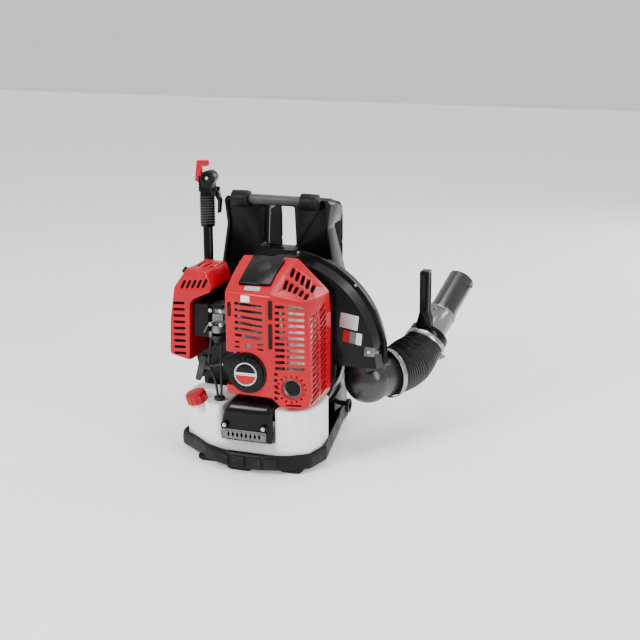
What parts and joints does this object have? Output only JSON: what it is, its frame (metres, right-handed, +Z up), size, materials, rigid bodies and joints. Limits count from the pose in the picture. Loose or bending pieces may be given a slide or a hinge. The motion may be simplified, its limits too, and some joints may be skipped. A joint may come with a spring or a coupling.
{
  "type": "backpack leaf blower",
  "caption": "Backpack leaf blower with a piston engine, volute fan, flexible air hose, swivel pipe, throttle arm and padded harness frame.",
  "frame": {"origin": "on the floor plane under the rib in the middle of the base tray, on the back frame's centre line", "axes": "+X to the right seen from the engine side, +Y from the engine towards the wearer's back, +Z up"},
  "size_m": [0.5555, 0.5195, 0.5739],
  "materials": {
    "matte_black": "moulded matt black",
    "gloss_black": "glossy black",
    "grip_grey": "ribbed grip",
    "rubber_black": "black rubber",
    "red_plastic": "glossy red",
    "tank_white": "translucent white",
    "cast_alloy": "die-cast alloy",
    "bright_steel": "zinc plated",
    "muffler_steel": "heat-tinted sheet steel",
    "dark_steel": "forged steel",
    "ceramic_white": "insulator and plated shell",
    "hose_black": "ribbed flexible hose",
    "pipe_grey": "dark grey pipe",
    "filter_cream": "pleated filter paper",
    "pad_fabric": "padded mesh fabric",
    "web_black": "woven webbing"
  },
  "bodies": {
    "machine": {"base_tray": "matte_black", "back_frame": "gloss_black", "carry_handle": "grip_grey", "handle_knuckles": "matte_black", "av_mounts": "rubber_black", "fan_case_front": "gloss_black", "fan_case_rear": "gloss_black", "inlet_grille": "matte_black", "case_screws": "bright_steel", "outlet_elbow": "hose_black", "hose_clamp_inner": "bright_steel", "crankcase": "cast_alloy", "cylinder_block": "cast_alloy", "spark_plug": "ceramic_white", "ignition_lead": "rubber_black", "ignition_coil": "matte_black", "carburetor": "cast_alloy", "intake_insulator": "matte_black", "muffler": "muffler_steel", "engine_cover": "red_plastic", "cylinder_cap_panel": "gloss_black", "starter_case": "gloss_black", "air_cleaner_case": "matte_black", "air_filter": "filter_cream", "air_cleaner_cover": "red_plastic", "fuel_tank": "tank_white", "tank_bracket": "gloss_black", "tank_clamp_plate": "matte_black", "bracket_bolts": "bright_steel", "fuel_lines": "rubber_black", "throttle_cable": "rubber_black", "arm_bracket": "matte_black", "strap_anchors": "matte_black", "back_pad": "pad_fabric", "shoulder_strap_left": "pad_fabric", "shoulder_strap_right": "pad_fabric", "strap_webbing": "web_black", "strap_buckles": "matte_black", "crank_bearings": "bright_steel", "starter_rope": "rubber_black"},
    "rotor": {"crankshaft": "dark_steel", "flywheel": "cast_alloy", "impeller": "matte_black"},
    "piston": {"piston": "cast_alloy"},
    "rod": {"connecting_rod": "dark_steel"},
    "reel": {"starter_reel": "matte_black"},
    "grip": {"starter_grip": "rubber_black"},
    "cap": {"fuel_cap": "red_plastic"},
    "arm": {"throttle_arm": "gloss_black", "arm_head": "gloss_black"},
    "trigger": {"throttle_trigger": "gloss_black"},
    "cruise": {"cruise_lever": "red_plastic"},
    "hose": {"flex_hose": "hose_black"},
    "collar": {"hose_clamp_outer": "bright_steel"},
    "pipe": {"swivel_pipe": "pipe_grey", "control_handle": "gloss_black", "straight_pipe": "pipe_grey"},
    "knob": {"filter_knob": "matte_black"},
    "choke": {"choke_lever": "matte_black"}
  },
  "joints": [
    {"name": "crank_spin", "type": "hinge", "parent": "machine", "child": "rotor", "pos_m": [0.036, -0.02, 0.202], "axis": [0, 1, 0], "continuous": true},
    {"name": "piston_stroke", "type": "slide", "parent": "machine", "child": "piston", "axis": [0, 0, 1], "range_m": [-0.034, 0]},
    {"name": "rod_swing", "type": "hinge", "parent": "piston", "child": "rod", "pos_m": [0.036, -0.071, 0.297], "axis": [0, 1, 0], "range_deg": [-12, 12]},
    {"name": "starter_pull", "type": "slide", "parent": "machine", "child": "grip", "axis": [-0.8529, -0.5077, 0.1218], "range_m": [0, 0.5], "stiffness_N_per_m": 12, "springref_m": -0.3, "deforming": ["starter_rope"]},
    {"name": "reel_spin", "type": "hinge", "parent": "machine", "child": "reel", "pos_m": [0.036, -0.146, 0.202], "axis": [0, 1, 0], "range_deg": [-1150, 0]},
    {"name": "cap_turn", "type": "hinge", "parent": "machine", "child": "cap", "pos_m": [-0.1, -0.088, 0.098], "axis": [-0.2, -0.24, 0.95], "range_deg": [0, 540]},
    {"name": "arm_swing", "type": "hinge", "parent": "machine", "child": "arm", "pos_m": [-0.152, 0.092, 0.096], "axis": [1, 0, 0], "range_deg": [-95, 0]},
    {"name": "trigger_squeeze", "type": "hinge", "parent": "arm", "child": "trigger", "pos_m": [-0.13, 0.092, 0.508], "axis": [0, 1, 0], "range_deg": [0, 10], "stiffness_Nm_per_rad": 0.4, "springref_deg": -17.19},
    {"name": "cruise_set", "type": "hinge", "parent": "arm", "child": "cruise", "pos_m": [-0.164, 0.092, 0.532], "axis": [0, 1, 0], "range_deg": [-45, 0]},
    {"name": "hose_sweep", "type": "hinge", "parent": "machine", "child": "hose", "pos_m": [0.26443, 0.11571, 0.15177], "axis": [0, 0, 1], "range_deg": [-25, 25], "deforming": ["flex_hose"]},
    {"name": "hose_lift", "type": "hinge", "parent": "hose", "child": "collar", "pos_m": [0.29165, 0.16546, 0.17441], "axis": [0.9471, -0.3208, 0], "range_deg": [-30, 20]},
    {"name": "pipe_swivel", "type": "hinge", "parent": "collar", "child": "pipe", "pos_m": [0.302, 0.19, 0.192], "axis": [0.2521, 0.7444, 0.6183], "range_deg": [-90, 90]},
    {"name": "knob_turn", "type": "hinge", "parent": "machine", "child": "knob", "pos_m": [-0.1274, -0.062, 0.3676], "axis": [-0.8107, 0, 0.5855], "range_deg": [0, 360]},
    {"name": "choke_turn", "type": "hinge", "parent": "machine", "child": "choke", "pos_m": [-0.05, -0.094, 0.312], "axis": [0, 1, 0], "range_deg": [0, 60]}
  ],
  "couplings": [
    {"joint": "reel_spin", "follows": "starter_pull", "rad_per_m": -38.4}
  ]
}
